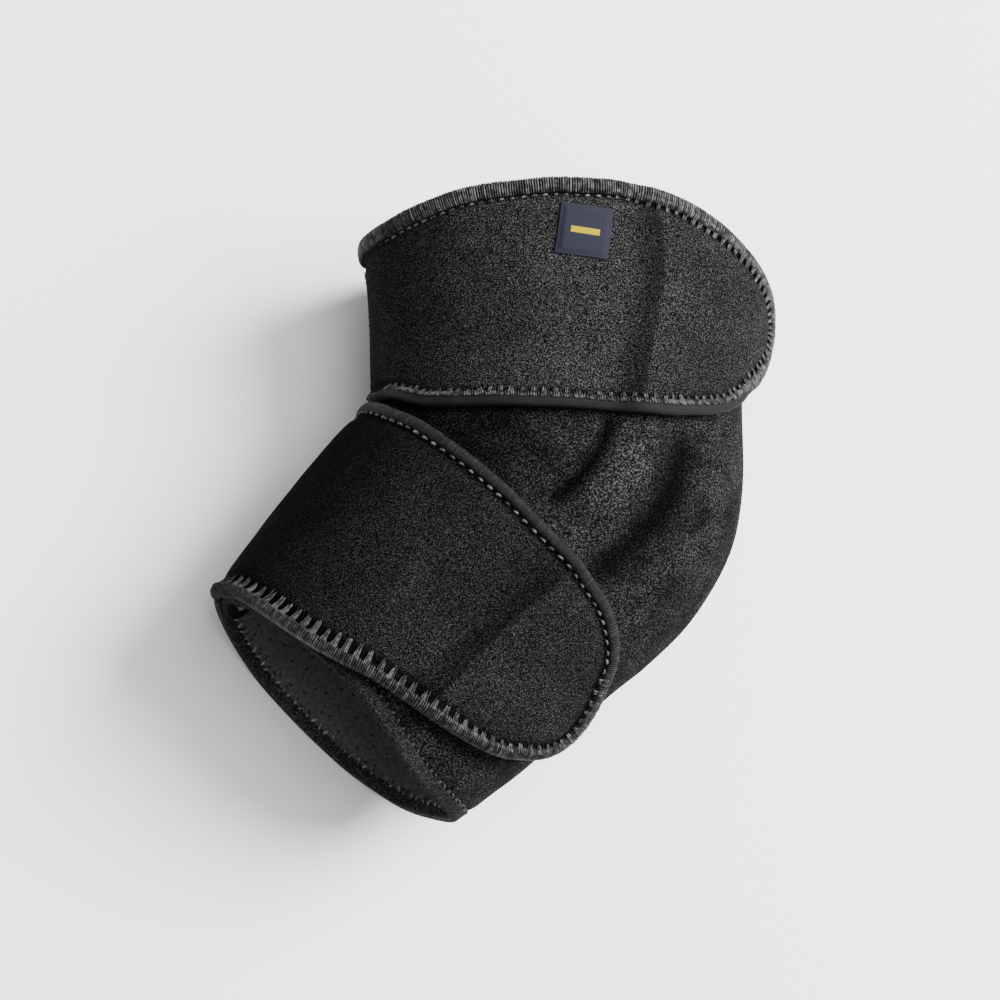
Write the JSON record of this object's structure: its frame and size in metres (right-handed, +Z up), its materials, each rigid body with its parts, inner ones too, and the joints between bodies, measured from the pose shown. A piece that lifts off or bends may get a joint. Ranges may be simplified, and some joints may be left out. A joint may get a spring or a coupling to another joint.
{
  "type": "elbow brace",
  "caption": "Wrap-around neoprene elbow brace in its worn bent shape, with an upper-arm strap and a forearm strap that close over the front by hook-and-loop tabs.",
  "frame": {"origin": "under the middle of the brace's box, on the surface that it lies on", "axes": "+X from the crook towards the point of the elbow, +Y up the upper arm, +Z up, out of the lapped front"},
  "size_m": [0.1698, 0.1858, 0.0943],
  "materials": {
    "neoprene_cloth": "black loop-pile cloth on neoprene foam",
    "overlock_thread": "black overlocked thread, slight sheen",
    "hook_tape": "black hook tape",
    "woven_label": "dark grey woven satin"
  },
  "bodies": {
    "root": {"sleeve": "neoprene_cloth", "sleeve_edging": "overlock_thread", "upper_strap": "neoprene_cloth", "upper_strap_edging": "overlock_thread", "upper_strap_hook_pad": "hook_tape", "forearm_strap": "neoprene_cloth", "forearm_strap_edging": "overlock_thread", "forearm_strap_hook_pad": "hook_tape", "label": "woven_label"}
  },
  "joints": []
}
